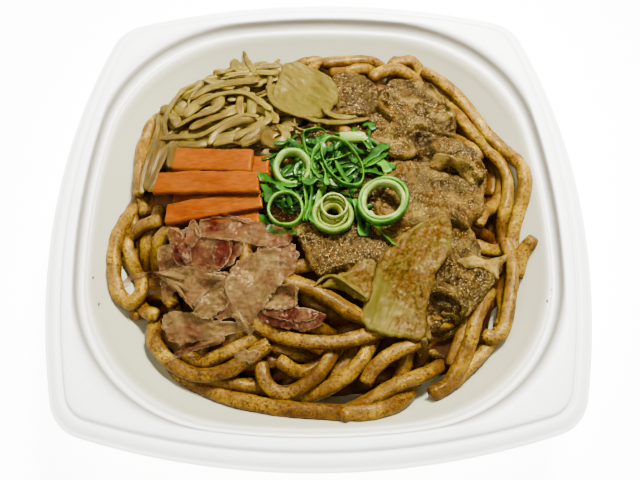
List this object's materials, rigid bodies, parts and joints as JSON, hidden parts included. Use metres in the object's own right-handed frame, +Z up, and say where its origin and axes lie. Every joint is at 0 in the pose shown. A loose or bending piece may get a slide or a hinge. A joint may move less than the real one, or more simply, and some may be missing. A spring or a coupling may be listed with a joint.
{
  "type": "yaki udon",
  "caption": "Thick fried wheat noodles with sliced pork, cabbage, bean sprouts, carrot, scallion and bonito flakes, heaped in a square white foam tray.",
  "frame": {"origin": "middle of the tray's flat foot, on the surface it stands on", "axes": "+Z up, -Y towards the front edge nearest the viewer, +X to the viewer's right"},
  "size_m": [0.2, 0.2, 0.0495],
  "materials": {
    "foam": "white pressed foam with a soft sheen",
    "noodle": "oily golden brown noodle",
    "sprout": "moist pale sprout",
    "pork": "brown sauced meat",
    "cabbage": "cooked translucent leaf",
    "carrot": "moist cooked carrot",
    "scallion": "fresh green leaf",
    "bonito": "thin dry flake"
  },
  "bodies": {
    "root": {"tray": "foam", "noodles": "noodle", "bean_sprouts": "sprout", "pork_1": "pork", "pork_2": "pork", "pork_3": "pork", "pork_4": "pork", "pork_5": "pork", "pork_6": "pork", "pork_7": "pork", "cabbage_1": "cabbage", "cabbage_2": "cabbage", "cabbage_3": "cabbage", "carrot_1": "carrot", "carrot_2": "carrot", "carrot_3": "carrot", "carrot_4": "carrot", "carrot_5": "carrot", "carrot_6": "carrot", "scallion_1": "scallion", "scallion_2": "scallion", "scallion_3": "scallion", "scallion_4": "scallion", "scallion_5": "scallion", "scallion_6": "scallion", "scallion_7": "scallion", "scallion_8": "scallion", "scallion_9": "scallion", "scallion_10": "scallion", "scallion_11": "scallion", "scallion_12": "scallion", "scallion_13": "scallion", "scallion_14": "scallion", "bonito_1": "bonito", "bonito_2": "bonito", "bonito_3": "bonito", "bonito_4": "bonito", "bonito_5": "bonito", "bonito_6": "bonito", "bonito_7": "bonito", "bonito_8": "bonito"}
  },
  "joints": []
}
